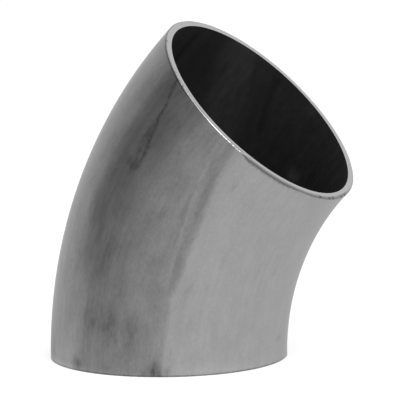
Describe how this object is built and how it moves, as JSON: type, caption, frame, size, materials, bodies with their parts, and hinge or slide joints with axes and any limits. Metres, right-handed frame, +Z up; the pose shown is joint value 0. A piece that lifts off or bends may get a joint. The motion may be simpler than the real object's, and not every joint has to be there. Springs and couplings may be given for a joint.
{
  "type": "forty-five degree butt weld elbow",
  "caption": "Curved steel tube fitting with a forty-five degree bend and square-cut ends that are butt welded to straight tube.",
  "frame": {"origin": "centre of the lower cut end, on the plane that the elbow stands on", "axes": "+Z up the tube from the lower end, +X towards the inside of the bend, so the plane of the bend is XZ and the upper end faces up and towards +X"},
  "size_m": [0.1312, 0.1016, 0.1435],
  "materials": {
    "steel": "plain mild steel as formed, satin outside with draw marks and dark scale inside"
  },
  "bodies": {
    "root": {"elbow": "steel"}
  },
  "joints": []
}
